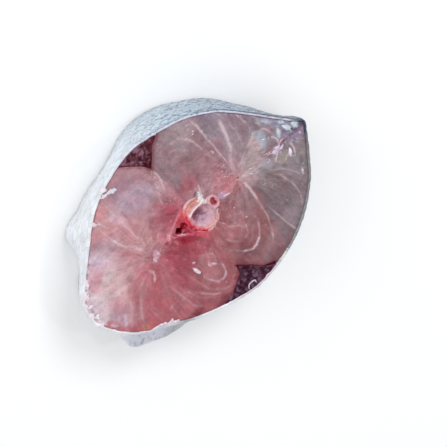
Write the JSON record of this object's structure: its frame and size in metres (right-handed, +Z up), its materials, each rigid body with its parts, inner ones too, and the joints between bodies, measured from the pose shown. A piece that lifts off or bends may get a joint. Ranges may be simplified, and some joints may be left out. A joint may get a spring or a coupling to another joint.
{
  "type": "barracuda steak",
  "caption": "Raw fish steak cut across the tail half, lying flat: silvery scaled skin round pink muscle, dark side wedges and a cut backbone.",
  "frame": {"origin": "middle of the bounding box, on the flat lower cut that the steak lies on", "axes": "+Y towards the back fin's ridge, +Z up out of the cut face that shows, -X towards the flank whose skin shows"},
  "size_m": [0.0862, 0.1238, 0.0312],
  "materials": {
    "white_muscle": "wet, half clear raw muscle, pink to grey, with fine white seams",
    "scaled_skin": "wet silvery scales, blue grey on the back and white on the belly",
    "dark_muscle": "wet dark red muscle",
    "bone": "wet fresh bone, pink with pale rims",
    "blood": "wet dark blood",
    "fin_bone": "wet gristle, grey pink",
    "membrane": "wet pale membrane"
  },
  "bodies": {
    "root": {"flesh": "white_muscle", "skin": "scaled_skin", "dark_muscle_left": "dark_muscle", "dark_muscle_right": "dark_muscle", "vertebra": "bone", "spinal_cord": "blood", "blood_clot": "blood", "fin_bone": "fin_bone", "membrane_curl": "membrane"}
  },
  "joints": []
}
